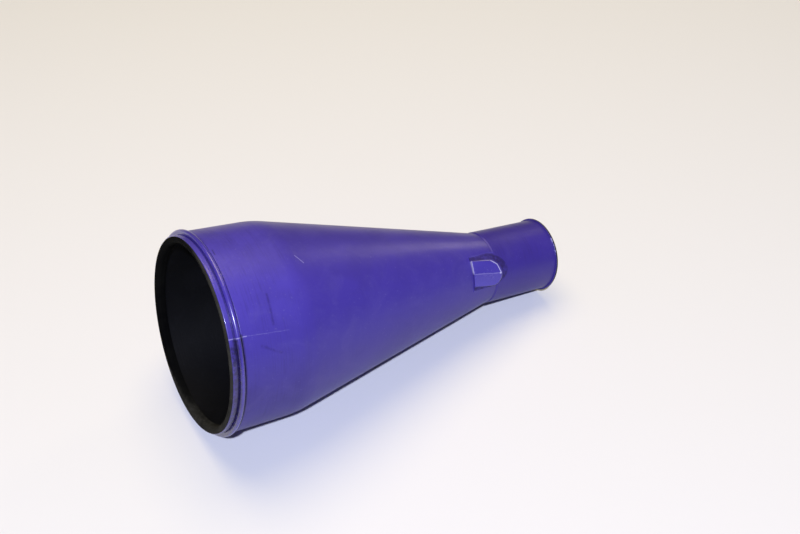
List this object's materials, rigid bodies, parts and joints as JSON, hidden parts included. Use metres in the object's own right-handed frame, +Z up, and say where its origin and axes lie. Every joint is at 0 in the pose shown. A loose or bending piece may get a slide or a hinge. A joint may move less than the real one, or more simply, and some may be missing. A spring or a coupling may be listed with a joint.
{
  "type": "canning funnel",
  "caption": "Long canning funnel with a beaded mouth collar, a tapering cone, a narrow lipped neck and a raised stop lug, lying on its side.",
  "frame": {"origin": "on the ground, under the middle of the lying funnel's box", "axes": "+Z up; the funnel's axis lies in the XZ plane, its mouth towards -X and its neck towards +X, drooping 9.6 degrees towards the neck; the stop lug is on the -Y side"},
  "size_m": [0.2903, 0.1364, 0.1396],
  "materials": {
    "purple_paint": "semi-gloss paint",
    "bead_paint": "semi-gloss paint, worn",
    "lug_paint": "gloss paint",
    "black_lining": "matte",
    "worn_rim": "worn, satin"
  },
  "bodies": {
    "root": {"rim_ring": "worn_rim", "mouth_bead": "bead_paint", "mouth_collar": "purple_paint", "cone_wall": "purple_paint", "neck_tube": "purple_paint", "neck_lip": "purple_paint", "stop_lug": "lug_paint", "collar_lining": "black_lining", "cone_lining": "black_lining", "neck_lining": "black_lining"}
  },
  "joints": []
}
